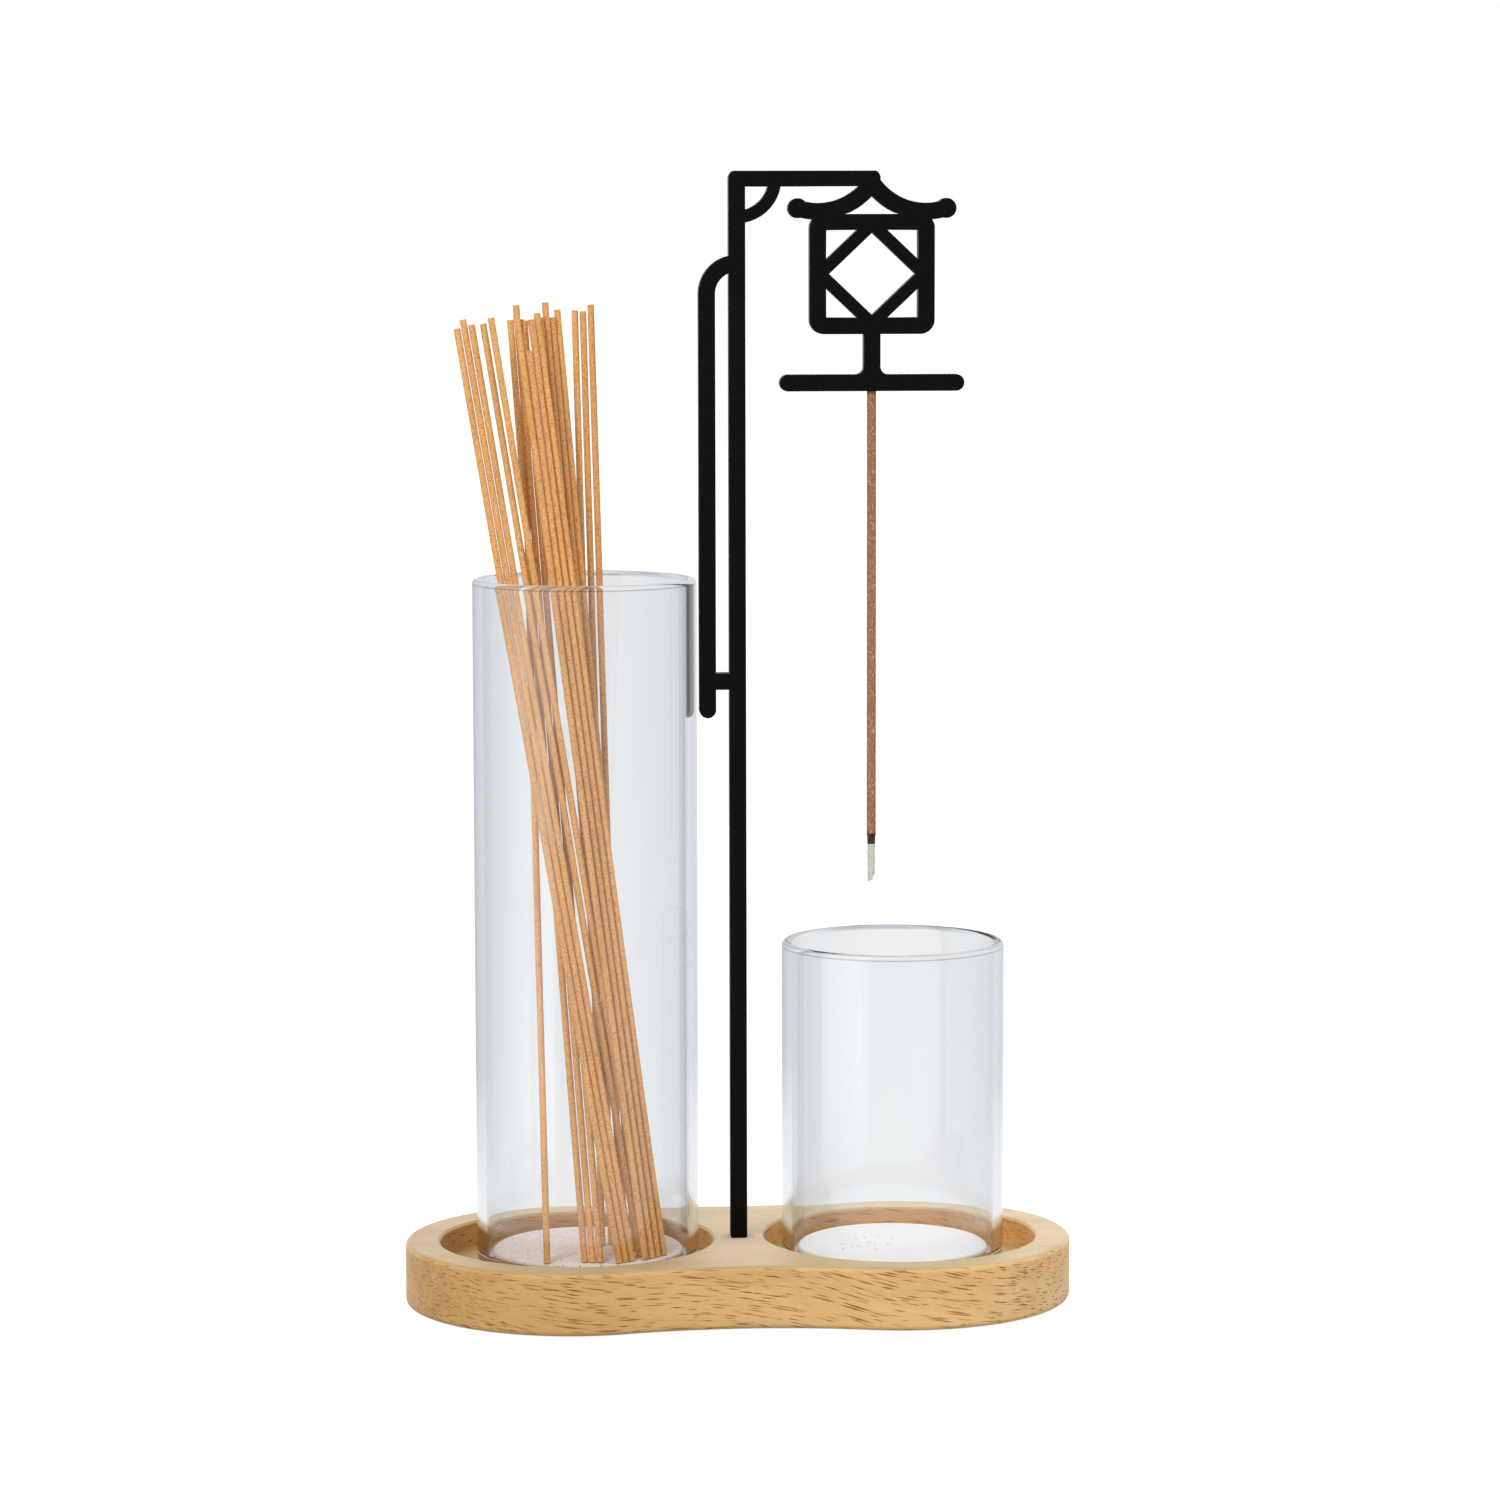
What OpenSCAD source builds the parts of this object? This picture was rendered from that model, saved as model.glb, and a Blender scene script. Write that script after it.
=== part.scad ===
// Hanging-stick incense burner: a turned-out wooden tray with two round wells, a tall glass
// that stores spare sticks, a short glass that catches ash, and a flat steel stand whose
// lantern head holds one stick upside down over the ash glass.
// Millimetres, +Z up, origin at the centre of the tray's underside. +X points to the ash glass.

/* [Tray] */
// Width of the wood left around each well
rim_w = 7.75; // [6:0.25:10]
// How far each long side of the tray is drawn in at the waist
waist_dip = 4.7; // [2:0.1:7]
// Thickness of the tray
tray_h = 14; // [13:0.5:20]
// Radius that eases the tray's long edges
edge_r = 1.2; // [0.4:0.1:2]
// Air all round a glass that stands in the middle of its well
well_gap = 5.75; // [4:0.25:7]
// Depth of the two wells
well_depth = 6; // [4:0.5:7]
// Chamfer around the mouth of each well
well_chamfer = 0.5; // [0.2:0.1:0.8]

/* [Glasses] */
// Outer diameter of both glasses
glass_d = 50; // [46:0.5:51]
// Wall thickness of both glasses
glass_wall = 2.2; // [1.6:0.1:2.6]
// Thickness of the glass bottoms
glass_floor = 2.5; // [1.6:0.1:3.5]
// Radius around the foot of each glass
heel_r = 2; // [1:0.1:2.4]
// Radius inside, where the wall meets the bottom
inner_heel_r = 1.2; // [0.6:0.1:1.5]
// Rise of the hollow under each glass
punt_h = 0.5; // [0.2:0.1:1]
// Height of the storage glass
storage_h = 155; // [140:1:165]
// Height of the ash glass
ash_glass_h = 73; // [60:1:76]
// How far the storage glass stands from the middle of its well, towards the stand
storage_shift = 2.6; // [0:0.1:3]
// Air between the storage glass and the stand's side bar
stand_gap = 0.55; // [0.4:0.05:3]

/* [Felt pads] */
// Thickness of the pads in the glasses
pad_h = 1.5; // [1:0.1:2.5]
// Gap between a pad and the rounded corner around it
pad_gap = 0.2; // [0.1:0.1:1]

/* [Stand] */
// Height of the stand above the tray's top face
stand_rise = 239; // [225:1:250]
// Thickness of the steel plate that the stand is cut from
plate_t = 3.5; // [3:0.1:5]
// Width of the stand's strokes
bar_w = 3.3; // [3:0.1:3.6]
// Width of the fine strokes in the lattice and the corner bracket
lattice_w = 2.4; // [1.8:0.1:2.8]
// Distance from the rod to the axis of the hanging stick
reach = 30; // [28:0.5:36]
// Depth of the rod's tenon in the tray
tenon_depth = 9; // [7:0.5:10]
// Gap all round the tenon
tenon_gap = 0.15; // [0.05:0.05:0.3]
// Distance from the rod to the side bar
side_bar_offset = 6.7; // [6:0.1:6.9]
// Height of the side bar's free end above the tray's top face
side_bar_low = 118; // [100:1:150]
// Length of the side bar from its free end to its upper bend
side_bar_length = 94; // [60:1:96]
// Height of the bridge above the side bar's free end
bridge_up = 8; // [5:0.5:20]
// Mean radius of the corner bracket under the arm
bracket_r = 8.5; // [6:0.1:9]
// Outer width of the lantern's window frame
window_w = 27.4; // [24:0.2:30]
// Outer height of the lantern's window frame
window_h = 26.2; // [22:0.2:30]
// Outer corner radius of the window frame
window_r = 3; // [1:0.1:4]
// Half the span of the roof between its tip centres
roof_half = 16.5; // [15:0.1:18]
// Distance that the eaves dip below the arm
roof_dip = 7.3; // [6:0.1:9]
// Distance from the window frame to the underside of the base bar
stem_h = 12.6; // [11:0.2:16]
// Overall length of the base bar
base_bar_length = 40.7; // [30:0.5:46]
// Depth of the stick hole in the base bar's underside
hole_depth = 8; // [5:0.5:10]

/* [Incense] */
// Length of an unused stick
stick_length = 213; // [200:1:216]
// Largest amount by which a stick is cut short
stick_scatter = 3.5; // [0:0.5:6]
// Amount by which one broken stick is shorter still
broken_off = 7; // [0:1:20]
// Diameter of the stored sticks
stick_d = 1.5; // [1.2:0.1:1.7]
// Diameter of the hanging stick
hanging_d = 1.9; // [1.6:0.1:2]
// Gap all round the hanging stick in its hole
hole_gap = 0.06; // [0.02:0.01:0.1]
// Length of unburnt stick below the base bar
unburnt = 99.6; // [80:0.2:100]
// Length of the charred end
char_length = 1.9; // [1:0.1:4]
// Length of ash that still hangs on
ash_length = 8.8; // [4:0.2:12]

/* [Hidden] */
$fn = 96;
cut = 1;                 // how far a cutter runs past the face it opens
face_gap = 0.02;         // air left where a loose piece rests on another

// Tray: its wells are as far apart as the glass and the side bar between them need
glass_r = glass_d / 2;
well_r = glass_r + well_gap;
well_z = tray_h - well_depth;
lobe_r = well_r + rim_w;
lobe_x = side_bar_offset + bar_w / 2 + stand_gap + glass_r + storage_shift;
waist_y = lobe_r - waist_dip;
waist_r = (lobe_x * lobe_x + waist_y * waist_y - lobe_r * lobe_r) / (2 * (lobe_r - waist_y));
waist_c = waist_y + waist_r;
waist_turn = atan2(lobe_x, waist_c);   // half the angle that each waist curve turns through
end_turn = 90 + waist_turn;            // and half the angle of each round end
end_steps = 48;
waist_steps = 12;
ease_steps = 3;

// Glasses: each stands a little off the middle of its well
bore_r = glass_r - glass_wall;
storage_at = [storage_shift - lobe_x, 2];
ash_at = [lobe_x - 1.5, 0.5];
pad_r = bore_r - inner_heel_r - pad_gap;
pad_z = well_z + glass_floor;
pad_top = pad_z + pad_h;

// Stand: heights are taken down from the middle of the arm
stand_y = -1;
arm_z = tray_h + stand_rise - bar_w / 2;
side_bar_low_z = tray_h + side_bar_low;
side_bend_z = side_bar_low_z + side_bar_length;
eave_x = 12;                                        // where each eave is lowest
roof_r = (eave_x * eave_x + (roof_dip - 1) * (roof_dip - 1)) / (2 * (roof_dip - 1));
roof_tip_angle = asin((roof_half - eave_x) / roof_r);
roof_ridge_angle = asin(eave_x / roof_r);
window_top = -roof_dip - bar_w / 2 + 1;             // the eaves sink 1 mm into the frame
window_low = window_top - window_h;
base_low = window_low - stem_h;
base_z = arm_z + base_low;                          // underside of the base bar
fillet_r = 2;
tip_swell = 0.35;                                   // how much each eave swells at its tip

// Hanging stick, from the top of the hole down
hole_r = hanging_d / 2 + hole_gap;
stick_top_z = base_z + hole_depth - 0.5;
char_z = base_z - unburnt;
ash_z = char_z - char_length;

// Stored sticks stand in six fans and one by itself. Each row gives how many sticks the fan has,
// where its first stick stands and the step to the next, then where its first stick passes the
// rim and the step there, as X and Y from the glass's axis. The places were chosen for a bore that
// leaves 22 mm clear and for 1.5 mm sticks, and they spread with both.
fans = [
    [3, [6.0, -19.6], [1.4, 1.1], [-18.8, -11.0], [1.6, 0.2]],
    [2, [10.8, -13.0], [1.8, 1.0], [-13.2, -10.0], [1.9, -0.6]],
    [3, [-1.4, -18.0], [1.7, -0.3], [-12.0, -4.2], [1.6, 0.8]],
    [4, [11.8, -16.4], [1.4, 1.6], [-7.4, -8.8], [1.5, 1.2]],
    [4, [6.4, -8.6], [2.0, 1.3], [-5.0, -2.2], [1.5, 1.1]],
    [3, [3.2, 0.0], [2.1, 0.6], [-0.2, 5.3], [1.9, 0.8]],
    [1, [-9.5, -18.5], [0, 0], [-12.4, -1.3], [0, 0]]];
planned_clear_r = 22;
planned_stick_d = 1.5;
spread = (bore_r - stick_d / 2) / planned_clear_r;
pitch = stick_d / planned_stick_d;
places = [for (fan = fans) for (i = [0 : fan[0] - 1])
    [fan[1] * spread + fan[2] * pitch * i, fan[3] * spread + fan[4] * pitch * i]];
stick_count = len(places);
broken_stick = 10;

function stick_name(k) = str("stick_", k < 10 ? "0" : "", k);
function cut_length(k) = stick_length - stick_scatter * abs(sin(k * 77))
    - (k == broken_stick ? broken_off : 0);

// Plan of the tray, drawn in by `inset` all round: right end, far side of the waist, left end,
// near side of the waist. The four arcs run smoothly into each other.
function tray_plan(inset) = concat(
    [for (i = [0 : end_steps - 1]) let (a = end_turn * (2 * i / end_steps - 1))
        [lobe_x + (lobe_r - inset) * cos(a), (lobe_r - inset) * sin(a)]],
    [for (i = [0 : waist_steps - 1]) let (a = waist_turn * (1 - 2 * i / waist_steps))
        [(waist_r + inset) * sin(a), waist_c - (waist_r + inset) * cos(a)]],
    [for (i = [0 : end_steps - 1]) let (a = end_turn * (2 * i / end_steps - 1))
        [-lobe_x - (lobe_r - inset) * cos(a), -(lobe_r - inset) * sin(a)]],
    [for (i = [0 : waist_steps - 1]) let (a = waist_turn * (1 - 2 * i / waist_steps))
        [-(waist_r + inset) * sin(a), (waist_r + inset) * cos(a) - waist_c]]);

// Solid slab on that plan. Each ring is [inset, height], and the rings round off both edges.
module tray_blank() {
    rings = concat(
        [for (i = [0 : ease_steps]) let (a = 90 * i / ease_steps)
            [edge_r * (1 - sin(a)), edge_r * (1 - cos(a))]],
        [for (i = [0 : ease_steps]) let (a = 90 * i / ease_steps)
            [edge_r * (1 - cos(a)), tray_h - edge_r * (1 - sin(a))]]);
    count = 2 * (end_steps + waist_steps);
    top = len(rings) - 1;
    polyhedron(
        points = [for (ring = rings) for (p = tray_plan(ring[0])) [p[0], p[1], ring[1]]],
        faces = concat(
            [[for (i = [0 : count - 1]) i]],
            [for (k = [0 : top - 1]) for (i = [0 : count - 1]) let (j = (i + 1) % count)
                [k * count + i, (k + 1) * count + i, (k + 1) * count + j, k * count + j]],
            [[for (i = [0 : count - 1]) (top + 1) * count - 1 - i]]));
}

module well() {
    translate([0, 0, well_z]) cylinder(r = well_r, h = well_depth + cut);
    translate([0, 0, tray_h - well_chamfer])
        cylinder(r1 = well_r, r2 = well_r + well_chamfer + cut, h = well_chamfer + cut);
}

module tray() {
    color("burlywood") difference() {
        tray_blank();
        for (side = [-1, 1]) translate([side * lobe_x, 0, 0]) well();
        translate([-bar_w / 2 - tenon_gap, stand_y - plate_t / 2 - tenon_gap, tray_h - tenon_depth])
            cube([bar_w + 2 * tenon_gap, plate_t + 2 * tenon_gap, tenon_depth + cut]);
    }
}

// Straight-sided drinking-glass shape with a rounded foot and a fire-polished rim
module glass(h) {
    rim_r = glass_wall / 2;
    rotate_extrude() {
        difference() {
            union() {
                square([glass_r - heel_r, h - rim_r]);
                translate([0, heel_r]) square([glass_r, h - rim_r - heel_r]);
                translate([glass_r - heel_r, heel_r]) circle(heel_r);
            }
            translate([0, glass_floor]) square([bore_r - inner_heel_r, h]);
            translate([0, glass_floor + inner_heel_r]) square([bore_r, h]);
            translate([bore_r - inner_heel_r, glass_floor + inner_heel_r]) circle(inner_heel_r);
            polygon([[0, 0], [glass_r - heel_r - 1, 0], [0, punt_h]]);
        }
        translate([glass_r - rim_r, h - rim_r]) circle(rim_r);
    }
}

module storage_glass() {
    color("aliceblue", 0.35) translate([storage_at.x, storage_at.y, well_z]) glass(storage_h);
}

module ash_glass() {
    color("aliceblue", 0.35) translate([ash_at.x, ash_at.y, well_z]) glass(ash_glass_h);
}

module pad(at) {
    color("whitesmoke") translate([at.x, at.y, pad_z]) cylinder(r = pad_r, h = pad_h);
}

module storage_pad() { pad(storage_at); }

module ash_pad() { pad(ash_at); }

// A stroke with round ends between two points
module bar(from, to, w) {
    run = to - from;
    translate(from) rotate(atan2(run.y, run.x)) translate([0, -w / 2]) square([norm(run), w]);
    for (end = [from, to]) translate(end) circle(w / 2);
}

// A stroke along an arc of at most 90 degrees, from angle a0 to angle a1
module arc_bar(r, w, a0, a1) {
    far = 2 * (r + w);
    mid = (a0 + a1) / 2;
    intersection() {
        difference() {
            circle(r + w / 2);
            circle(r - w / 2);
        }
        polygon([[0, 0], far * [cos(a0), sin(a0)], far * [cos(mid), sin(mid)], far * [cos(a1), sin(a1)]]);
    }
}

// Right half of the swept roof, with its ridge on the lantern's axis
module roof_half_outline() {
    translate([eave_x, roof_r - roof_dip]) {
        arc_bar(roof_r, bar_w, -90 - roof_ridge_angle, -90 + roof_tip_angle);
        rotate(-90 + roof_tip_angle) translate([roof_r, 0]) circle(bar_w / 2 + tip_swell);
    }
}

// Rectangle with rounded corners, centred across and standing on its lower edge
module rounded_rect(w, h, r) {
    translate([-w / 2, r]) square([w, h - 2 * r]);
    translate([-w / 2 + r, 0]) square([w - 2 * r, h]);
    for (x = [-w / 2 + r, w / 2 - r], y = [r, h - r]) translate([x, y]) circle(r);
}

// Window frame with a lozenge lattice, standing on its lower edge
module window_outline() {
    clear_w = window_w - 2 * bar_w;
    clear_h = window_h - 2 * bar_w;
    difference() {
        rounded_rect(window_w, window_h, window_r);
        translate([-clear_w / 2, bar_w]) square([clear_w, clear_h]);
    }
    translate([0, window_h / 2]) for (sx = [-1, 1], sy = [-1, 1])
        bar([sx * (clear_w + lattice_w) / 2, 0], [0, sy * (clear_h + lattice_w) / 2], lattice_w);
}

// Roof, window, stem and base bar, drawn from the middle of the arm down
module lantern_outline() {
    roof_half_outline();
    mirror([1, 0]) roof_half_outline();
    translate([0, window_low]) window_outline();
    translate([-bar_w / 2, base_low]) square([bar_w, stem_h + bar_w / 2]);
    for (side = [-1, 1]) bar([0, base_low + bar_w / 2],
        [side * (base_bar_length - bar_w) / 2, base_low + bar_w / 2], bar_w);
    for (side = [0, 1]) mirror([side, 0]) translate([bar_w / 2, base_low + bar_w]) difference() {
        square(fillet_r);
        translate([fillet_r, fillet_r]) circle(fillet_r);
    }
}

// The stand's cut outline, with the rod's axis at x = 0 and heights above the table
module stand_outline() {
    translate([-bar_w / 2, tray_h - tenon_depth + face_gap])
        square([bar_w, arm_z - tray_h + tenon_depth - face_gap]);
    bar([0, arm_z], [reach, arm_z], bar_w);
    translate([0, arm_z]) arc_bar(bracket_r, lattice_w, -90, 0);
    translate([0, side_bend_z]) arc_bar(side_bar_offset, bar_w, 90, 180);
    bar([-side_bar_offset, side_bar_low_z + bar_w / 2], [-side_bar_offset, side_bend_z], bar_w);
    translate([-side_bar_offset, side_bar_low_z + bridge_up - bar_w / 2])
        square([side_bar_offset, bar_w]);
    translate([reach, arm_z]) lantern_outline();
}

module stand() {
    color([0.09, 0.09, 0.09]) difference() {
        translate([0, stand_y + plate_t / 2, 0]) rotate([90, 0, 0])
            linear_extrude(plate_t) stand_outline();
        translate([reach, stand_y, base_z - cut]) cylinder(r = hole_r, h = hole_depth + cut);
    }
}

module hanging_stick() {
    color([0.65, 0.43, 0.29]) translate([reach, stand_y, char_z])
        cylinder(d = hanging_d, h = stick_top_z - char_z);
}

module charred_end() {
    color([0.13, 0.11, 0.10]) translate([reach, stand_y, ash_z]) cylinder(d = hanging_d, h = char_length);
}

module ash_tip() {
    color([0.78, 0.79, 0.76]) translate([reach, stand_y, ash_z - ash_length])
        cylinder(d1 = hanging_d - 0.5, d2 = hanging_d - 0.15, h = ash_length);
}

// One stored stick: it stands on the pad and leans past the rim
module stored_stick(k) {
    foot = places[k - 1][0];
    rim = places[k - 1][1];
    run = rim - foot;
    rise = well_z + storage_h - pad_top;
    lean = atan2(norm(run), rise);
    lift = stick_d / 2 * sin(lean) + face_gap;
    color([0.79, 0.60, 0.36])
        translate([storage_at.x + foot.x, storage_at.y + foot.y, pad_top + lift])
            rotate([0, lean, atan2(run.y, run.x)]) cylinder(d = stick_d, h = cut_length(k));
}

tray();
storage_glass();
storage_pad();
ash_glass();
ash_pad();
stand();
hanging_stick();
charred_end();
ash_tip();
for (k = [1 : stick_count]) stored_stick(k);
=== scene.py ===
import math

import bmesh
import bpy
import numpy as np
from mathutils import Matrix, Vector, noise


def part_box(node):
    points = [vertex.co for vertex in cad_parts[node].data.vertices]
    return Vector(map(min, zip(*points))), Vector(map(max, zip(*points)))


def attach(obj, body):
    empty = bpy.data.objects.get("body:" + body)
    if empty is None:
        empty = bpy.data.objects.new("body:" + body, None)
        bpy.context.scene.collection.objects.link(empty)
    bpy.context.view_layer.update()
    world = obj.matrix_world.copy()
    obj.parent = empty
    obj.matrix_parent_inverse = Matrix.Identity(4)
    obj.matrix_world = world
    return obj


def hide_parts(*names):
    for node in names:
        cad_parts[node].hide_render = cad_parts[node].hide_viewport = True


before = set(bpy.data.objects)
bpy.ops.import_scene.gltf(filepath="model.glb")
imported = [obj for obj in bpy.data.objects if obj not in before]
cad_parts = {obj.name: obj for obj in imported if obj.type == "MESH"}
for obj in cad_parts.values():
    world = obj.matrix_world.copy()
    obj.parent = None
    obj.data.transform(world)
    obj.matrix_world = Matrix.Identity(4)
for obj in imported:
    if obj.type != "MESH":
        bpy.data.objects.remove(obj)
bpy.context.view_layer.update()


# ---------------------------------------------------------------------------------------------
# Place: the burner stands on a white table in a white room. Two soft lamps light it, the stronger
# one over its front left, and so does a sky that is brightest overhead. The room's walls have
# paler and darker panels, which show only where glass mirrors them.
# ---------------------------------------------------------------------------------------------
eye = Vector((-0.0731, -1.0992, 0.2449))
eye_turn, eye_dip, eye_roll = 0.069, 0.109, -0.002
ahead = Vector((math.sin(eye_turn) * math.cos(eye_dip), math.cos(eye_turn) * math.cos(eye_dip),
                -math.sin(eye_dip)))
level_right = Vector((math.cos(eye_turn), -math.sin(eye_turn), 0))
level_up = level_right.cross(ahead)
right = level_right * math.cos(eye_roll) + level_up * math.sin(eye_roll)
up = level_up * math.cos(eye_roll) - level_right * math.sin(eye_roll)
camera = bpy.data.objects.new("camera", bpy.data.cameras.new("camera"))
camera.data.lens = 118.94
camera.data.sensor_width = 36
camera.data.clip_end = 50
camera.matrix_world = Matrix.Translation(eye) @ Matrix((right, up, -ahead)).transposed().to_4x4()
bpy.context.scene.collection.objects.link(camera)
bpy.context.scene.camera = camera
bpy.context.scene.view_settings.view_transform = "Standard"


def feed(tree, node, inputs):
    """Gives a node its inputs, each as a plain value or as the socket that feeds it."""
    for name, value in inputs.items():
        if isinstance(value, bpy.types.NodeSocket):
            tree.links.new(value, node.inputs[name])
        else:
            node.inputs[name].default_value = value


def put(tree, kind, inputs=None, **settings):
    """Adds a node with these inputs and settings."""
    node = tree.nodes.new(kind)
    for name, value in settings.items():
        setattr(node, name, value)
    feed(tree, node, inputs or {})
    return node


def work_out(tree, operation, *values):
    """One step of arithmetic, as a Math node's output."""
    return put(tree, "ShaderNodeMath", dict(enumerate(values)), operation=operation).outputs[0]


def work_out_vector(tree, operation, *vectors, **scale):
    """The same for vectors. A length or a distance comes out as a number."""
    node = put(tree, "ShaderNodeVectorMath", dict(enumerate(vectors)) | scale, operation=operation)
    return node.outputs["Value" if operation in ("LENGTH", "DISTANCE") else "Vector"]


def shades(tree, position, stops):
    """Colours blended along `position`, from a list of (place, colour)."""
    ramp = put(tree, "ShaderNodeValToRGB", {"Fac": position})
    points = ramp.color_ramp.elements
    while len(points) < len(stops):
        points.new(1)
    for point, (place, colour) in zip(points, stops):
        point.position, point.color = place, (*colour, 1)
    return ramp.outputs["Color"]


def blended(tree, share, under, over, how="MIX"):
    """Colour `over` laid on `under`."""
    return put(tree, "ShaderNodeMix", {"Factor": share, 6: under, 7: over},
               data_type="RGBA", blend_type=how).outputs[2]


def stepped(tree, value, low, high):
    """0 below `low`, 1 above `high` and smooth between. With low above high it falls instead."""
    return put(tree, "ShaderNodeMapRange", {"Value": value, "From Min": low, "From Max": high},
               interpolation_type="SMOOTHSTEP").outputs["Result"]


def after(tree, bounce):
    """1 once a path of light has had one such bounce."""
    depth = put(tree, "ShaderNodeLightPath").outputs[bounce + " Depth"]
    return work_out(tree, "GREATER_THAN", depth, 0.5)


room = bpy.data.worlds.new("white_room")
bpy.context.scene.world = room
room.use_nodes = True
tree = room.node_tree
tree.nodes.clear()
way = put(tree, "ShaderNodeSeparateXYZ", {
    0: put(tree, "ShaderNodeTexCoord").outputs["Generated"]}).outputs
# Where round the room a ray goes: 0 is behind the burner, 0.25 left, 0.5 in front and 0.75 right.
bearing = work_out(tree, "ARCTAN2", way["X"], work_out(tree, "MULTIPLY", way["Y"], -1.0))
around = work_out(tree, "MULTIPLY_ADD", bearing, 0.5 / math.pi, 0.5)
panels = shades(tree, around, [
    (0.00, (0.90, 0.90, 0.90)), (0.03, (0.40, 0.42, 0.45)), (0.17, (0.45, 0.47, 0.50)),
    (0.24, (1.40, 1.43, 1.46)), (0.30, (2.70, 2.70, 2.75)), (0.39, (3.20, 3.20, 3.20)),
    (0.42, (0.90, 0.91, 0.93)), (0.53, (0.90, 0.91, 0.93)), (0.56, (1.35, 1.35, 1.38)),
    (0.75, (1.20, 1.21, 1.24)), (0.90, (0.70, 0.72, 0.75)), (1.00, (0.90, 0.90, 0.90))])
# Wood, felt and coat mirror this in place of the panels.
backdrop = shades(tree, around, [
    (0.12, (3.0, 3.0, 3.0)), (0.25, (0.8, 0.8, 0.8)), (0.75, (0.8, 0.8, 0.8)),
    (0.88, (3.0, 3.0, 3.0))])
in_glass = blended(tree, after(tree, "Transmission"), panels, (0.80, 0.81, 0.83, 1))
off_glass = put(tree, "ShaderNodeLightPath").outputs["Is Singular Ray"]
mirrored = blended(tree, off_glass, backdrop, in_glass)
# By itself the room looks white. Through glass its walls look a little greyer, and the ceiling,
# which the rims and the solid bottoms bend into view, is darker.
through_glass = shades(tree, way["Z"], [(0.25, (0.90, 0.91, 0.92)), (0.60, (0.28, 0.30, 0.34))])
unmirrored = blended(tree, after(tree, "Transmission"), (1, 1, 1, 1), through_glass)
seen = blended(tree, after(tree, "Glossy"), unmirrored, mirrored)
sky = shades(tree, way["Z"], [(0.0, (0.18, 0.185, 0.20)), (1.0, (1.30, 1.31, 1.33))])
shown = blended(tree, after(tree, "Diffuse"), seen, sky)
put(tree, "ShaderNodeOutputWorld", {"Surface": put(
    tree, "ShaderNodeBackground", {"Color": shown, "Strength": 1.0}).outputs[0]})

lamp_aim = Vector((0, 0, 0.08))


def soft_lamp(name, place, width, power):
    """A square area lamp at `place` that faces the burner."""
    lamp = bpy.data.objects.new(name, bpy.data.lights.new(name, "AREA"))
    lamp.data.shape, lamp.data.size, lamp.data.energy = "SQUARE", width, power
    lamp.visible_glossy = lamp.visible_transmission = lamp.visible_camera = False
    facing = (lamp_aim - Vector(place)).to_track_quat("-Z", "Y")
    lamp.matrix_world = Matrix.Translation(place) @ facing.to_matrix().to_4x4()
    bpy.context.scene.collection.objects.link(lamp)


def object_from(name, skin):
    """An object in the scene with the mesh that was built in `skin`."""
    piece = bpy.data.objects.new(name, bpy.data.meshes.new(name))
    skin.to_mesh(piece.data)
    skin.free()
    bpy.context.scene.collection.objects.link(piece)
    return piece


soft_lamp("key_lamp", place=(-0.50, -0.95, 0.95), width=0.45, power=11.3)
soft_lamp("side_lamp", place=(1.1, -0.35, 0.6), width=0.6, power=3.0)

skin = bmesh.new()
bmesh.ops.create_circle(skin, cap_ends=True, segments=96, radius=12)
table = object_from("table", skin)
table.location.z = -0.0002
table_white = bpy.data.materials.new("table_white")
table_white.use_nodes = True
tree = table_white.node_tree
tree.nodes.clear()
ray = put(tree, "ShaderNodeLightPath").outputs
# It glows where it is seen, a little less through glass, over the burner's faint shadow. Upright
# glass mirrors the room's walls in place of its far part.
is_seen = work_out(tree, "LESS_THAN", ray["Diffuse Depth"], 0.5)
is_mirrored = work_out(tree, "MULTIPLY", ray["Is Singular Ray"], after(tree, "Glossy"))
glow = work_out(tree, "MULTIPLY_ADD", after(tree, "Transmission"), -0.42, 1.62)
white_top = put(tree, "ShaderNodeMixShader", {
    0: work_out(tree, "MULTIPLY", is_seen, 0.55),
    1: put(tree, "ShaderNodeBsdfDiffuse", {"Color": (0.45, 0.45, 0.45, 1)}).outputs[0],
    2: put(tree, "ShaderNodeEmission", {"Strength": glow}).outputs[0]}).outputs[0]
from_middle = work_out_vector(tree, "LENGTH", put(tree, "ShaderNodeTexCoord").outputs["Object"])
walls_instead = work_out(tree, "MULTIPLY", stepped(tree, from_middle, 0.10, 0.35), is_mirrored)
put(tree, "ShaderNodeOutputMaterial", {"Surface": put(tree, "ShaderNodeMixShader", {
    0: walls_instead, 1: white_top,
    2: put(tree, "ShaderNodeBsdfTransparent").outputs[0]}).outputs[0]})
table.data.materials.append(table_white)


# ---------------------------------------------------------------------------------------------
# Tray: one board of pale rubberwood, sawn to a waisted outline, with two wells turned into its
# top and a slot for the stand. Every long edge is sanded round. It has a thin matt oil, and its
# open pores show as short dark dashes that run down to the right.
# ---------------------------------------------------------------------------------------------
tray_low, tray_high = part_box("tray")
lobe_r = (tray_high.y - tray_low.y) / 2
lobe_x = tray_high.x - lobe_r
tray_top = tray_high.z
well_r, well_floor = lobe_r - 0.00775, tray_top - 0.006
slot_half, slot_y, slot_floor = (0.0018, 0.0019), -0.001, tray_top - 0.009


def new_material(name):
    """An empty material, its node tree and its Principled shader."""
    material = bpy.data.materials.new(name)
    material.use_nodes = True
    tree = material.node_tree
    tree.nodes.clear()
    shader = put(tree, "ShaderNodeBsdfPrincipled")
    put(tree, "ShaderNodeOutputMaterial", {"Surface": shader.outputs[0]})
    return material, tree, shader


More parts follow.
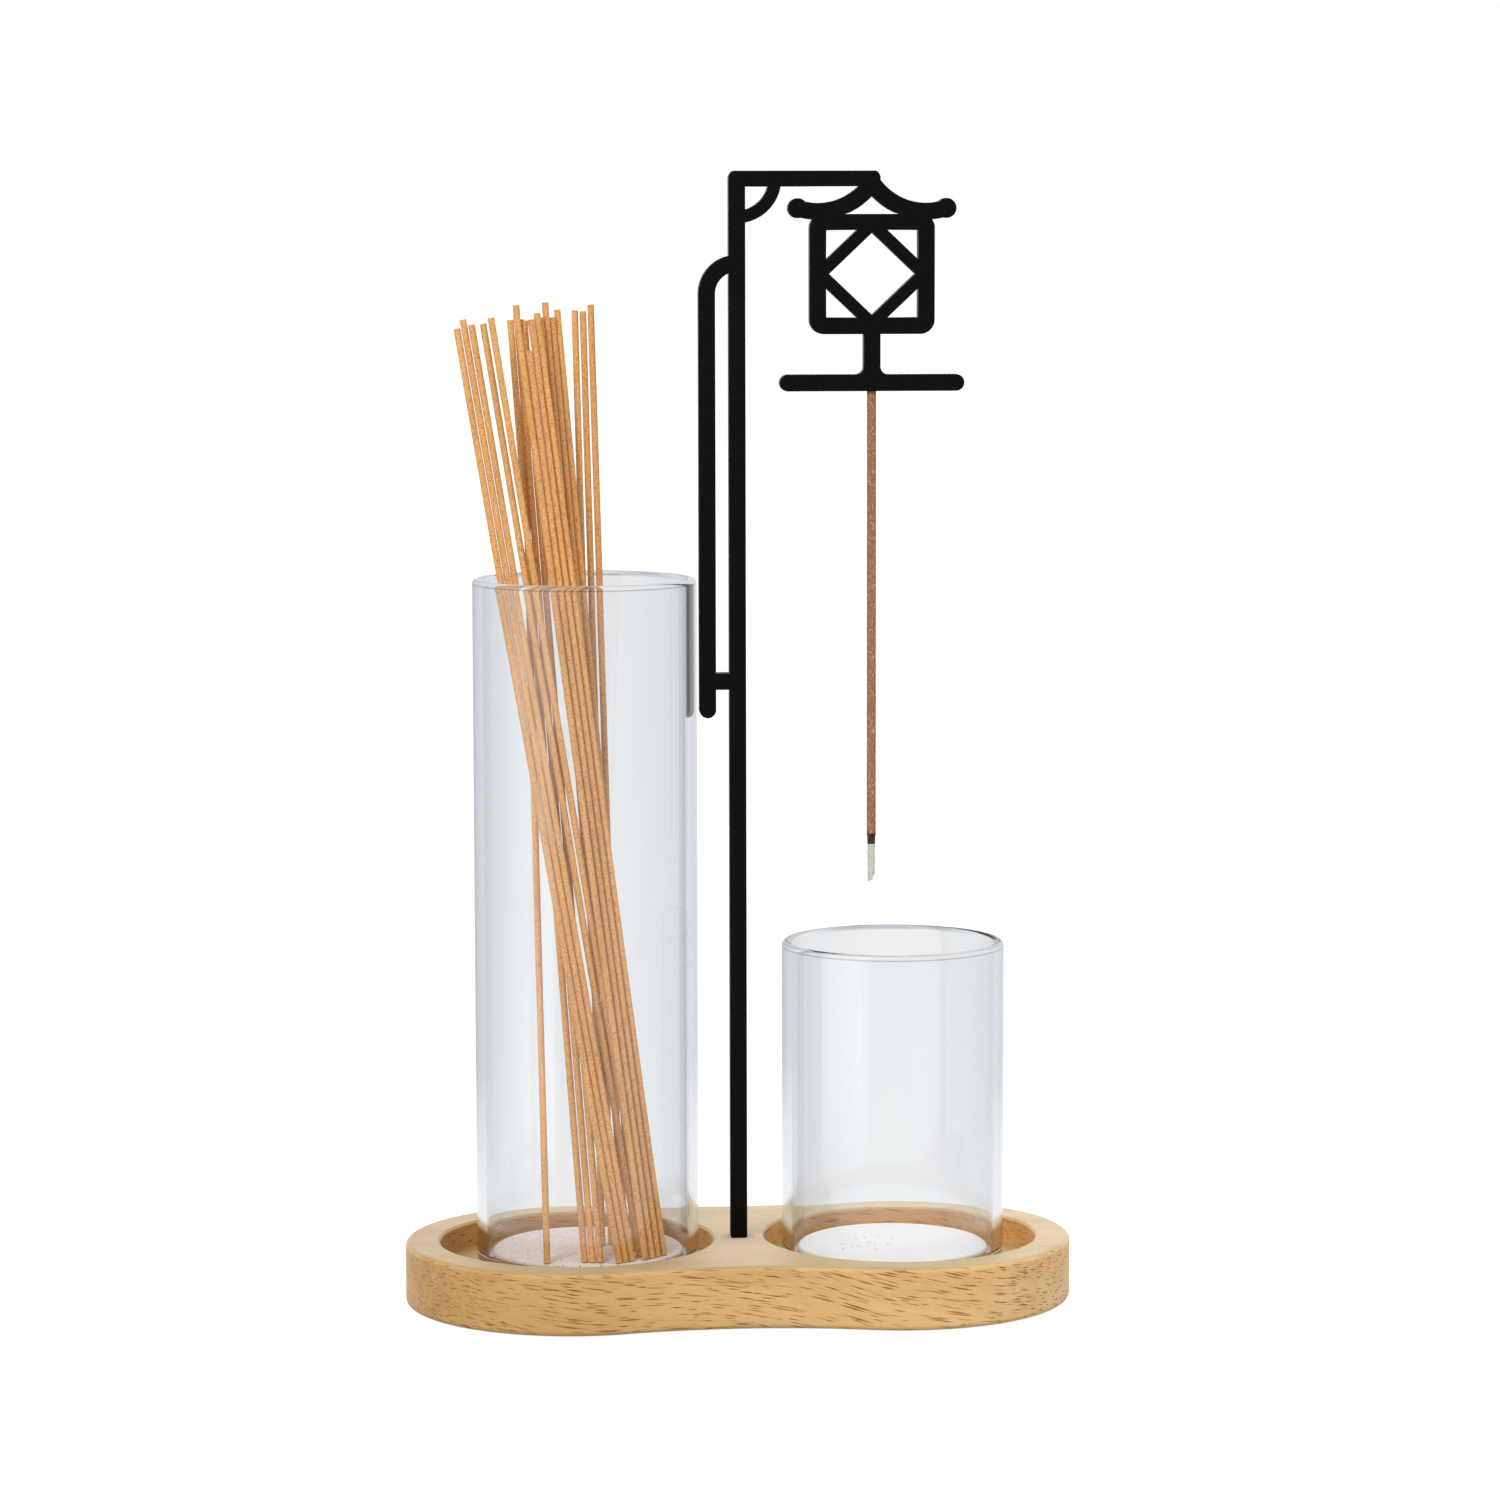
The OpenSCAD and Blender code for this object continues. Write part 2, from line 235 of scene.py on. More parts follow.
tray_wood, tree, shader = new_material("tray_wood")
here = put(tree, "ShaderNodeTexCoord").outputs["Object"]
place = put(tree, "ShaderNodeSeparateXYZ", {0: here}).outputs
sway = put(tree, "ShaderNodeTexNoise", {
    "Vector": here, "Scale": 28.0, "Detail": 1.0, "Roughness": 0.4}).outputs["Color"]
swayed = work_out_vector(
    tree, "SCALE", work_out_vector(tree, "SUBTRACT", sway, (0.5, 0.5, 0.5)), Scale=0.005)
# The grain runs down to the right, nearly level at the left end and steeper towards the right.
slope = work_out(tree, "MULTIPLY_ADD", place["X"], 0.75, 0.135)
fall = work_out(tree, "MULTIPLY", place["X"], slope)
along_grain = work_out_vector(tree, "ADD", work_out_vector(tree, "ADD", here, swayed),
                              put(tree, "ShaderNodeCombineXYZ", {"Z": fall}).outputs[0])


def grain_cells(length, depth, thickness):
    """Object coordinates counted in cells that are long in the direction of the grain."""
    return put(tree, "ShaderNodeMapping", {
        "Vector": along_grain, "Scale": (length, depth, thickness)},
        vector_type="TEXTURE").outputs[0]


rings = put(tree, "ShaderNodeTexNoise", {
    "Vector": grain_cells(0.16, 0.010, 0.010), "Scale": 1.0, "Detail": 3.0,
    "Roughness": 0.55}).outputs[0]
fibre = put(tree, "ShaderNodeTexNoise", {
    "Vector": grain_cells(0.012, 0.0007, 0.0007), "Scale": 1.0, "Detail": 2.0,
    "Roughness": 0.6}).outputs[0]
facing_up = put(tree, "ShaderNodeSeparateXYZ", {
    0: put(tree, "ShaderNodeNewGeometry").outputs["Normal"]}).outputs["Z"]
on_side = stepped(tree, facing_up, 0.95, 0.4)


def pores(cells, smallest, range_of_size, share):
    """Dashes with pointed ends, one in each of a share of the cells."""
    spot = put(tree, "ShaderNodeTexVoronoi", {"Vector": cells, "Scale": 1.0, "Randomness": 1.0},
               feature="F1", distance="MANHATTAN")
    luck = put(tree, "ShaderNodeSeparateColor", {0: spot.outputs["Color"]}).outputs
    size = work_out(tree, "MULTIPLY_ADD", luck[0], range_of_size, smallest)
    dash = stepped(tree, work_out(tree, "DIVIDE", spot.outputs["Distance"], size), 1.0, 0.6)
    shown = stepped(tree, luck[1], 1 - share, 1.05 - share)
    return work_out(tree, "MULTIPLY", work_out(tree, "MULTIPLY", dash, shown),
                    work_out(tree, "MULTIPLY_ADD", luck[2], 0.4, 0.6))


long_pores = pores(grain_cells(0.0122, 0.0036, 0.00048), 0.34, 0.20, 0.9)
short_pores = pores(grain_cells(0.0064, 0.0022, 0.00046), 0.32, 0.20, 0.8)
fine_pores = pores(grain_cells(0.0060, 0.0011, 0.0008), 0.20, 0.18, 0.8)
pore_shown = put(tree, "ShaderNodeMix", {
    "Factor": on_side, "A": work_out(tree, "MULTIPLY", fine_pores, 0.4),
    "B": work_out(tree, "MAXIMUM", long_pores, short_pores)}).outputs[0]
wood_colour = shades(tree, rings, [
    (0.30, (0.52, 0.295, 0.100)), (0.48, (0.605, 0.360, 0.130)), (0.68, (0.67, 0.425, 0.170))])
pale_fibre = work_out(tree, "MULTIPLY", stepped(tree, fibre, 0.35, 0.7), 0.30)
wood_colour = blended(tree, pale_fibre, wood_colour, (0.72, 0.49, 0.24, 1))
# Painted light and shade, partly the wood's own tone: the board is painted darker and browner
# towards its left end and paler and bluer towards its right, as the light falls along it.
painted_light_along_board = shades(tree, stepped(tree, place["X"], -0.085, 0.06), [
    (0.0, (0.80, 0.745, 0.62)), (0.2, (0.90, 0.87, 0.82)), (0.62, (0.965, 0.955, 0.94)),
    (1.0, (1.11, 1.13, 1.19))])
wood_colour = blended(tree, 1.0, wood_colour, painted_light_along_board, "MULTIPLY")
# Painted reflection: its top is painted greyer and bluer than its sides, in place of the pale room
# that it mirrors edge on.
painted_reflection_top = blended(tree, 1.0, wood_colour, (0.61, 0.71, 0.84, 1), "MULTIPLY")
wood_colour = blended(tree, on_side, painted_reflection_top, wood_colour)
# Painted shade: its wells are painted darker and deeper in colour, in place of the shade and the
# warm bounced light inside them.
from_well = work_out_vector(tree, "LENGTH", put(tree, "ShaderNodeCombineXYZ", {
    "X": work_out(tree, "SUBTRACT", work_out(tree, "ABSOLUTE", place["X"]), lobe_x),
    "Y": place["Y"]}).outputs[0])
painted_well_shade = blended(tree, 1.0, wood_colour, (0.94, 0.78, 0.56, 1), "MULTIPLY")
wood_colour = blended(
    tree, stepped(tree, from_well, well_r + 0.0006, well_r - 0.0001), wood_colour, painted_well_shade)
# A painted contact shadow darkens the wood a little round the rod's foot.
foot_shadow_inner, foot_shadow_outer = 0.0022, 0.0046
from_foot = work_out_vector(
    tree, "DISTANCE", work_out_vector(tree, "MULTIPLY", here, (1, 1, 0)), (0, slot_y, 0))
wood_colour = blended(
    tree, stepped(tree, from_foot, foot_shadow_outer, foot_shadow_inner), wood_colour, (0.24, 0.115, 0.05, 1))
wood_colour = blended(tree, pore_shown, wood_colour, (0.25, 0.090, 0.018, 1))
relief = work_out(tree, "SUBTRACT", work_out(tree, "MULTIPLY", fibre, 0.25), pore_shown)
feed(tree, shader, {
    "Base Color": wood_colour, "Roughness": work_out(tree, "MULTIPLY_ADD", fibre, 0.15, 0.5),
    "Specular IOR Level": 0.4, "Sheen Weight": 0.1, "Sheen Roughness": 0.4,
    "Normal": put(tree, "ShaderNodeBump", {
        "Height": relief, "Strength": 0.5, "Distance": 0.00025}).outputs[0]})

# The board's outline comes from its own box: two round lobes joined by a hollow waist curve.
waist_dip, edge_r = 0.0047, 0.0012
waist_y = lobe_r - waist_dip
waist_r = (lobe_x ** 2 + waist_y ** 2 - lobe_r ** 2) / (2 * (lobe_r - waist_y))
waist_c = waist_y + waist_r
waist_turn = math.atan2(lobe_x, waist_c)
lobe_turn = math.pi / 2 + waist_turn
lobe_steps, waist_steps, ease_steps = 128, 48, 8


def tray_outline(inset, height):
    """The board's outline, anticlockwise from the near right, drawn in by `inset`."""
    outline = []
    for side in (1, -1):
        for k in range(lobe_steps):
            a = lobe_turn * (2 * k / lobe_steps - 1)
            outline.append((side * (lobe_x + (lobe_r - inset) * math.cos(a)),
                            side * (lobe_r - inset) * math.sin(a), height))
        for k in range(waist_steps):
            a = waist_turn * (1 - 2 * k / waist_steps)
            outline.append((side * (waist_r + inset) * math.sin(a),
                            side * (waist_c - (waist_r + inset) * math.cos(a)), height))
    return outline


def circle(middle, radius, height, turns):
    """A level circle of corners, anticlockwise from the right."""
    return [(middle[0] + radius * math.cos(2 * math.pi * k / turns),
             middle[1] + radius * math.sin(2 * math.pi * k / turns), height) for k in range(turns)]


def join_hoops(skin, hoops):
    """Fills the bands between hoops of equally many corners."""
    for lower, upper in zip(hoops, hoops[1:]):
        for k in range(len(lower)):
            j = (k + 1) % len(lower)
            skin.faces.new((lower[k], lower[j], upper[j], upper[k]))


def closed_skin(name, hoops):
    """A solid between hoops of corners, closed flat at the first and the last hoop."""
    skin = bmesh.new()
    rows = [[skin.verts.new(point) for point in hoop] for hoop in hoops]
    join_hoops(skin, rows)
    skin.faces.new(rows[0][::-1])
    skin.faces.new(rows[-1])
    return object_from(name, skin)


def eased(share):
    """Inset and rise of a quarter-round edge, from its side (0) to its face (1)."""
    a = share * math.pi / 2
    return edge_r * (1 - math.cos(a)), edge_r * math.sin(a)


def smooth_up_to(piece, degrees):
    """Shades faces smooth, apart from edges sharper than this."""
    skin = bmesh.new()
    skin.from_mesh(piece.data)
    for face in skin.faces:
        face.smooth = True
    for edge in skin.edges:
        edge.smooth = edge.calc_face_angle(math.pi) < math.radians(degrees)
    skin.to_mesh(piece.data)
    skin.free()


eases = [eased(k / ease_steps) for k in range(ease_steps + 1)]
levels = [(inset, edge_r - rise) for inset, rise in reversed(eases)]
levels += [(inset, tray_top - edge_r + rise) for inset, rise in eases]
tray = closed_skin("oiled_tray", [tray_outline(inset, height) for inset, height in levels])

# Each well has a small cove round its floor and a chamfered mouth. The cutters reach past the top.
cove, chamfer, past, well_turns = 0.0004, 0.0005, 0.002, 256
well_section = [
    (well_r - cove, well_floor), (well_r - cove / 4, well_floor + cove / 4),
    (well_r, well_floor + cove), (well_r, tray_top - chamfer), (well_r + chamfer, tray_top),
    (well_r + chamfer + past, tray_top + past)]
cutters = [closed_skin("well_cutter", [
    circle((side * lobe_x, 0), radius, height, well_turns) for radius, height in well_section])
    for side in (-1, 1)]
cutters.append(closed_skin("slot_cutter", [
    [(sx * slot_half[0], slot_y + sy * slot_half[1], height)
     for sx, sy in ((-1, -1), (1, -1), (1, 1), (-1, 1))]
    for height in (slot_floor, tray_top + past)]))
for cutter in cutters:
    carve = tray.modifiers.new("carve", "BOOLEAN")
    carve.object, carve.operation, carve.solver = cutter, "DIFFERENCE", "EXACT"
carved = bpy.data.meshes.new_from_object(tray.evaluated_get(bpy.context.evaluated_depsgraph_get()))
tray.modifiers.clear()
tray.data = carved
for cutter in cutters:
    bpy.data.objects.remove(cutter)
smooth_up_to(tray, 32)
tray.modifiers.new("true_faces", "WEIGHTED_NORMAL").keep_sharp = True
tray.data.materials.append(tray_wood)
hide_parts("tray")
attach(tray, "tray")


# ---------------------------------------------------------------------------------------------
# Glasses: two straight tumblers of clear borosilicate tube with a flat, slightly hollow foot
# and a fire-polished rim. They stand loose in the wells. The glass looks clear face on and a
# little blue-grey where it is seen edge on.
# ---------------------------------------------------------------------------------------------
clear_glass, tree, shader = new_material("clear_glass")
edge_on = put(tree, "ShaderNodeLayerWeight", {"Blend": 0.5}).outputs["Facing"]
clear_tint = shades(tree, edge_on, [
    (0.0, (0.965, 0.975, 0.98)), (0.06, (0.95, 0.96, 0.97)), (0.22, (0.90, 0.92, 0.935)),
    (0.45, (0.87, 0.89, 0.915)), (0.60, (0.84, 0.86, 0.89)), (0.9, (0.66, 0.69, 0.73))])
# A fine grey line is painted where the round lip runs into the straight wall: a painted refraction
# line, in place of the dark line that the lip bends into view.
painted_lip_line = put(tree, "ShaderNodeAttribute", attribute_name="painted_lip_line").outputs["Fac"]
feed(tree, shader, {
    "Base Color": blended(tree, painted_lip_line, clear_tint, (0.24, 0.27, 0.31, 1)),
    "Transmission Weight": 1.0, "IOR": 1.47, "Roughness": 0.0})
# Light for the felt and the wood goes straight through, and so does light that is caught in a
# wall, after this many bounces.
most_bounces = 5.5
ray = put(tree, "ShaderNodeLightPath").outputs
straight_on = work_out(tree, "MAXIMUM", ray["Is Shadow Ray"], ray["Is Diffuse Ray"])
straight_on = work_out(
    tree, "MAXIMUM", straight_on, work_out(tree, "GREATER_THAN", ray["Ray Depth"], most_bounces))
through = put(tree, "ShaderNodeBsdfTransparent", {"Color": (0.985, 0.985, 0.985, 1)}).outputs[0]
material_output = next(node for node in tree.nodes if node.type == "OUTPUT_MATERIAL")
feed(tree, material_output, {"Surface": put(tree, "ShaderNodeMixShader", {
    0: straight_on, 1: shader.outputs[0], 2: through}).outputs[0]})


def arc_points(middle, radius, start, stop, steps):
    """Points on an arc in a section, from angle `start` to `stop` in degrees."""
    turns = [math.radians(start + (stop - start) * k / steps) for k in range(steps + 1)]
    return [(middle[0] + radius * math.cos(a), middle[1] + radius * math.sin(a)) for a in turns]


def tumbler(name, node):
    """A lathe-turned tumbler that fills a CAD glass."""
    wall, floor, heel, inner_heel, punt, support = 0.0022, 0.0025, 0.002, 0.0012, 0.0005, 0.0003
    hub, foot_ring, foot_rise, turns = 0.0004, 0.001, 0.00001, 256
    low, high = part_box(node)
    middle, outer, tall = (low + high) / 2, (high.x - low.x) / 2, high.z - low.z
    lip, bore = wall / 2, outer - wall
    section = [(hub, punt), (outer - heel - foot_ring, foot_rise), (outer - heel - support, 0.0)]
    section += arc_points((outer - heel, heel), heel, -90, 0, 10)
    section += [(outer, heel + support), (outer, tall - lip - support)]
    lip_hoop = len(section)
    section += arc_points((outer - lip, tall - lip), lip, 0, 180, 14)
    section += [(bore, tall - lip - support), (bore, floor + inner_heel + support)]
    section += arc_points((bore - inner_heel, floor + inner_heel), inner_heel, 0, -90, 8)
    section += [(bore - inner_heel - support, floor), (hub, floor)]
    skin = bmesh.new()
    painted_lip_line = skin.verts.layers.float.new("painted_lip_line")
    rows = [[skin.verts.new(point) for point in circle(middle, radius, low.z + height, turns)]
            for radius, height in section]
    poles = [skin.verts.new((middle.x, middle.y, low.z + height)) for height in (punt, floor)]
    for k in range(turns):
        j = (k + 1) % turns
        skin.faces.new((poles[0], rows[0][j], rows[0][k]))
        skin.faces.new((poles[1], rows[-1][k], rows[-1][j]))
        for lower, upper in zip(rows, rows[1:]):
            skin.faces.new((lower[k], lower[j], upper[j], upper[k]))
    for vert in rows[lip_hoop]:
        vert[painted_lip_line] = 1.0
    return object_from(name, skin)


for node, name in (("storage_glass", "tall_tumbler"), ("ash_glass", "short_tumbler")):
    glass = tumbler(name, node)
    smooth_up_to(glass, 40)
    glass.data.materials.append(clear_glass)
    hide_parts(node)
    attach(glass, node)


# ---------------------------------------------------------------------------------------------
# Felt pads: a disc of white mineral-fibre felt, cut with a punch, lies in the bottom of each
# glass. The tall glass's pad has picked up specks from the stick ends.
# ---------------------------------------------------------------------------------------------
def felt_disc(name, node, fuzz):
    """A pad that fills a CAD disc: rounded rim, soft hollows and a fibrous top."""
    low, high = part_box(node)
    middle, radius = (low + high) / 2, (high.x - low.x) / 2
    round_off, hollow, rim_fuzz, crown_sink = 0.00055, 0.00009, 0.00006, 0.00005
    turns, hoops = 160, 46
    flat_r = radius - round_off
    rim = arc_points((flat_r, low.z + round_off), round_off, -90, 0, 3)
    rim += arc_points((flat_r, high.z - round_off), round_off, 0, 60, 2)
    section = [(reach, height, 0.0) for reach, height in rim]
    section += [(flat_r * (1 - k / hoops), high.z, 1.0) for k in range(hoops)]
    skin = bmesh.new()
    hoop_verts = []
    for reach, height, top in section:
        hoop = []
        for k in range(turns):
            a = 2 * math.pi * k / turns
            spot = Vector((math.cos(a) * reach, math.sin(a) * reach, 0)) * 1000
            dent = noise.noise(spot * 0.25) * 0.5 + 0.5
            hair = noise.noise(Vector((spot.x, spot.y, height * 900)) * 1.9) * 0.5 + 0.5
            sink = (hollow * dent + fuzz * hair) * top
            pull = rim_fuzz * hair * (1 - top)
            hoop.append(skin.verts.new((middle.x + math.cos(a) * (reach - pull),
                                        middle.y + math.sin(a) * (reach - pull), height - sink)))
        hoop_verts.append(hoop)
    join_hoops(skin, hoop_verts)
    crown = skin.verts.new((middle.x, middle.y, high.z - crown_sink))
    base = skin.verts.new((middle.x, middle.y, low.z))
    for k in range(turns):
        j = (k + 1) % turns
        skin.faces.new((hoop_verts[-1][k], hoop_verts[-1][j], crown))
        skin.faces.new((hoop_verts[0][j], hoop_verts[0][k], base))
    for face in skin.faces:
        face.smooth = True
    return object_from(name, skin)


def felt(name, ground, speck, amount):
    """Matted white fibre with a few coloured specks."""
    material, tree, shader = new_material(name)
    here = put(tree, "ShaderNodeTexCoord").outputs["Object"]
    lint = put(tree, "ShaderNodeTexNoise", {
        "Vector": here, "Scale": 1700.0, "Detail": 3.0, "Roughness": 0.7,
        "Distortion": 1.2}).outputs[0]
    cloud = put(tree, "ShaderNodeTexNoise", {
        "Vector": here, "Scale": 160.0, "Detail": 2.0}).outputs[0]
    colour = shades(tree, lint, [(0.30, [0.86 * c for c in ground]), (0.60, ground)])
    colour = blended(tree, work_out(tree, "MULTIPLY", stepped(tree, cloud, 0.45, 0.7), 0.25),
                     colour, (*[1.08 * c for c in ground], 1))
    grit = put(tree, "ShaderNodeTexVoronoi", {"Vector": here, "Scale": 1100.0}, feature="F1")
    luck = put(tree, "ShaderNodeSeparateColor", {0: grit.outputs["Color"]}).outputs[0]
    speckled = work_out(tree, "MULTIPLY", stepped(tree, grit.outputs["Distance"], 0.45, 0.2),
                        work_out(tree, "GREATER_THAN", luck, 1 - amount))
    feed(tree, shader, {
        "Base Color": blended(tree, speckled, colour, speck), "Roughness": 0.95,
        "Specular IOR Level": 0.2, "Sheen Weight": 0.3, "Sheen Roughness": 0.5,
        "Normal": put(tree, "ShaderNodeBump", {
            "Height": lint, "Strength": 0.7, "Distance": 0.00015}).outputs[0]})
    return material


# The tall glass's pad is a darker, warmer white than the short glass's and has more specks.
warm_dark_felt = felt("warm_dark_felt", (0.65, 0.56, 0.50), (0.36, 0.27, 0.22, 1), 0.3)
clean_felt = felt("clean_felt", (0.76, 0.75, 0.74), (0.72, 0.70, 0.66, 1), 0.08)
for node, body, name, material, fuzz in (
        ("storage_pad", "storage_glass", "storage_felt", warm_dark_felt, 0.00010),
        ("ash_pad", "ash_glass", "ash_felt", clean_felt, 0.00005)):
    pad = felt_disc(name, node, fuzz)
    pad.data.materials.append(material)
    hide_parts(node)
    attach(pad, body)


# ---------------------------------------------------------------------------------------------
# Stand: cut in one piece from steel plate, with a lantern on its arm, and powder coated matt
# black. The coat is thick on the cut edges, rounds them off and has a few pale specks of dust.
# Its foot is a tenon that drops into the tray's slot.
# ---------------------------------------------------------------------------------------------
skin = bmesh.new()
skin.from_mesh(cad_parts["stand"].data)
bmesh.ops.remove_doubles(skin, verts=skin.verts, dist=2e-6)
stand = object_from("coated_stand", skin)
# The joined skin is read back, so that its faces are in order before the flat ones are merged.
skin = bmesh.new()
skin.from_mesh(stand.data)
bmesh.ops.dissolve_limit(skin, angle_limit=math.radians(0.5), verts=skin.verts, edges=skin.edges)
# The coat stops just above the tray and stays out of the stick's hole.
coat_thickness, coat_end, stand_top = 0.0002, tray_top + 0.0002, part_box("stand")[1].z
hung_low, hung_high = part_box("hanging_stick")
hole_axis, hole_reach = (hung_low + hung_high) / 2, 0.0015
for height in (coat_end, coat_end + coat_thickness):
    bmesh.ops.bisect_plane(skin, geom=skin.verts[:] + skin.edges[:] + skin.faces[:],
                           plane_co=(0, 0, height), plane_no=(0, 0, 1))
skin.normal_update()
coated = []
for vert in skin.verts:
    cut_normals = [face.normal for face in vert.link_faces if abs(face.normal.y) < 0.5]
    if not cut_normals or vert.co.z < coat_end + coat_thickness / 2:
        continue
    outward = sum(cut_normals, Vector()).normalized()
    swell = outward * (coat_thickness / max(0.5, outward.dot(cut_normals[0])))
    if (vert.co - hole_axis).xy.length < hole_reach:
        at_mouth = min(normal.z for normal in cut_normals) < -0.9
        swell = Vector((0, 0, -coat_thickness if at_mouth else 0))
    coated.append((vert, swell))
for vert, swell in coated:
    vert.co += swell
    vert.co.z = min(vert.co.z, stand_top)
skin.to_mesh(stand.data)
skin.free()
smooth_up_to(stand, 32)
coat_round = stand.modifiers.new("coat_round", "BEVEL")
coat_round.width, coat_round.segments = 0.00028, 3
coat_round.limit_method, coat_round.angle_limit = "ANGLE", math.radians(60)
coat_round.harden_normals = True

black_coat, tree, shader = new_material("black_coat")
here = put(tree, "ShaderNodeTexCoord").outputs["Object"]
orange_peel = put(tree, "ShaderNodeTexNoise", {
    "Vector": here, "Scale": 1500.0, "Detail": 2.0, "Roughness": 0.5}).outputs[0]
grit = put(tree, "ShaderNodeTexVoronoi", {"Vector": here, "Scale": 420.0}, feature="F1")
luck = put(tree, "ShaderNodeSeparateColor", {0: grit.outputs["Color"]}).outputs[0]
dusty = work_out(tree, "MULTIPLY", stepped(tree, grit.outputs["Distance"], 0.09, 0.04),
                 work_out(tree, "GREATER_THAN", luck, 0.975))
feed(tree, shader, {
    "Base Color": blended(tree, dusty, shades(tree, orange_peel, [
        (0.3, (0.0022, 0.0022, 0.0018)), (0.7, (0.0042, 0.0042, 0.0034))]), (0.12, 0.12, 0.12, 1)),
    "Specular IOR Level": 0.05,
    "Roughness": work_out(tree, "MULTIPLY_ADD", orange_peel, 0.2, 0.45),
    "Normal": put(tree, "ShaderNodeBump", {
        "Height": orange_peel, "Strength": 0.35, "Distance": 0.00004}).outputs[0]})
stand.data.materials.append(black_coat)
stand.visible_glossy = False
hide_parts("stand")
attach(stand, "stand")


# ---------------------------------------------------------------------------------------------
# Incense: sticks of powder and gum, rolled and dried without a core, with a dry speckled skin
# and square cut ends. The tan ones stand loose in the tall glass.
# ---------------------------------------------------------------------------------------------
def named_sockets(tree, inputs, outputs):
    """Gives a node group its inputs and outputs by name and kind, and returns its inputs."""
    for direction, sockets in (("INPUT", inputs), ("OUTPUT", outputs)):
        for name, kind in sockets.items():
            tree.interface.new_socket(name, in_out=direction, socket_type="NodeSocket" + kind)
    return put(tree, "NodeGroupInput").outputs


def end_with(tree, shape, skin):
    """Ends a Geometry Nodes tree with one real mesh in one material."""
    real = put(tree, "GeometryNodeRealizeInstances", {0: shape}).outputs[0]
    put(tree, "NodeGroupOutput", {0: put(tree, "GeometryNodeSetMaterial", {
        "Geometry": real, "Material": skin}).outputs[0]})


rolled = bpy.data.node_groups.new("rolled_stick", "GeometryNodeTree")
rolled.is_modifier = True
given = named_sockets(rolled, {
    "Foot": "Vector", "Top": "Vector", "Radius": "Float", "Unevenness": "Float", "Seed": "Float",
    "Skin": "Material"}, {"Stick": "Geometry"})
core = put(rolled, "GeometryNodeCurvePrimitiveLine", {
    "Start": given["Foot"], "End": given["Top"]}).outputs[0]
core = put(rolled, "GeometryNodeResampleCurve", {"Curve": core, "Count": 150}).outputs[0]
ring = put(rolled, "GeometryNodeCurvePrimitiveCircle", {
    "Resolution": 20, "Radius": given["Radius"]}).outputs["Curve"]
roll = put(rolled, "GeometryNodeCurveToMesh", {
    "Curve": core, "Profile Curve": ring, "Fill Caps": True}).outputs[0]
lumps = put(rolled, "ShaderNodeTexNoise", {
    "Vector": put(rolled, "GeometryNodeInputPosition").outputs[0], "W": given["Seed"],
    "Scale": 900.0, "Detail": 2.0}, noise_dimensions="4D").outputs[0]
# The lumps sink the skin, so that it stays inside its round.
depth = work_out(rolled, "MULTIPLY", work_out(rolled, "ADD", lumps, -0.9), given["Unevenness"])
outward = put(rolled, "GeometryNodeInputNormal").outputs[0]
inward = work_out_vector(rolled, "SCALE", outward, Scale=depth)
end_with(rolled, put(rolled, "GeometryNodeSetPosition", {
    "Geometry": roll, "Offset": inward}).outputs[0], given["Skin"])


def plain_mesh_from(tree, name, values):
    """Runs a Geometry Nodes tree once with these inputs and keeps its result as a plain mesh."""
    piece = bpy.data.objects.new(name, bpy.data.meshes.new(name))
    bpy.context.scene.collection.objects.link(piece)
    grown = piece.modifiers.new("grown", "NODES")
    grown.node_group = tree
    for socket in tree.interface.items_tree:
        if socket.in_out == "INPUT":
            grown[socket.identifier] = values[socket.name]
    depsgraph = bpy.context.evaluated_depsgraph_get()
    result = bpy.data.meshes.new_from_object(
        piece.evaluated_get(depsgraph), preserve_all_data_layers=True, depsgraph=depsgraph)
    piece.modifiers.clear()
    piece.data = result
    result.name = name
    return piece


def ends_of(node):
    """Foot, top and radius of a CAD stick, from its own corners."""
    corners = np.array([v.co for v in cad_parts[node].data.vertices], float)
    middle = (corners.min(0) + corners.max(0)) / 2
    line = np.linalg.svd(corners - corners.mean(0), full_matrices=False)[2][0]
    line = line if line[2] > 0 else -line
    reach = (corners - middle) @ line
    around = np.linalg.norm(corners - middle - np.outer(reach, line), axis=1)
    return middle + line * reach.min(), middle + line * reach.max(), around.max()


powder = bpy.data.node_groups.new("pressed_powder", "ShaderNodeTree")
given = named_sockets(powder, {
    "Ground": "Color", "Dark": "Color", "Pale": "Color", "Dark Share": "Float",
    "Pale Share": "Float", "Tone Drift": "Float"}, {"Colour": "Color", "Height": "Float"})
here = put(powder, "ShaderNodeTexCoord").outputs["Object"]
long_bands = put(powder, "ShaderNodeMapping", {"Vector": here, "Scale": (420, 420, 16)}).outputs[0]
drift = put(powder, "ShaderNodeTexNoise", {
    "Vector": long_bands, "Scale": 1.0, "Detail": 1.0}).outputs[0]
drift = work_out(powder, "MULTIPLY", work_out(powder, "SUBTRACT", drift, 0.5), given["Tone Drift"])
toned = put(powder, "ShaderNodeHueSaturation", {
    "Color": given["Ground"], "Value": work_out(powder, "ADD", drift, 1.0)}).outputs[0]
crumb = put(powder, "ShaderNodeTexNoise", {
    "Vector": here, "Scale": 2600.0, "Detail": 2.0, "Roughness": 0.6}).outputs[0]
drawn_out = put(powder, "ShaderNodeMapping", {"Vector": here, "Scale": (1, 1, 0.35)}).outputs[0]
lint = put(powder, "ShaderNodeTexNoise", {
    "Vector": drawn_out, "Scale": 3900.0, "Detail": 1.0, "Roughness": 0.5}).outputs[0]
dark_spots = work_out(powder, "MULTIPLY", stepped(powder, crumb, 0.50, 0.36), given["Dark Share"])
pale_spots = work_out(powder, "MULTIPLY", stepped(powder, lint, 0.56, 0.70), given["Pale Share"])
toned = blended(powder, dark_spots, toned, given["Dark"])
toned = blended(powder, pale_spots, toned, given["Pale"])
put(powder, "NodeGroupOutput", {"Colour": toned, "Height": crumb})


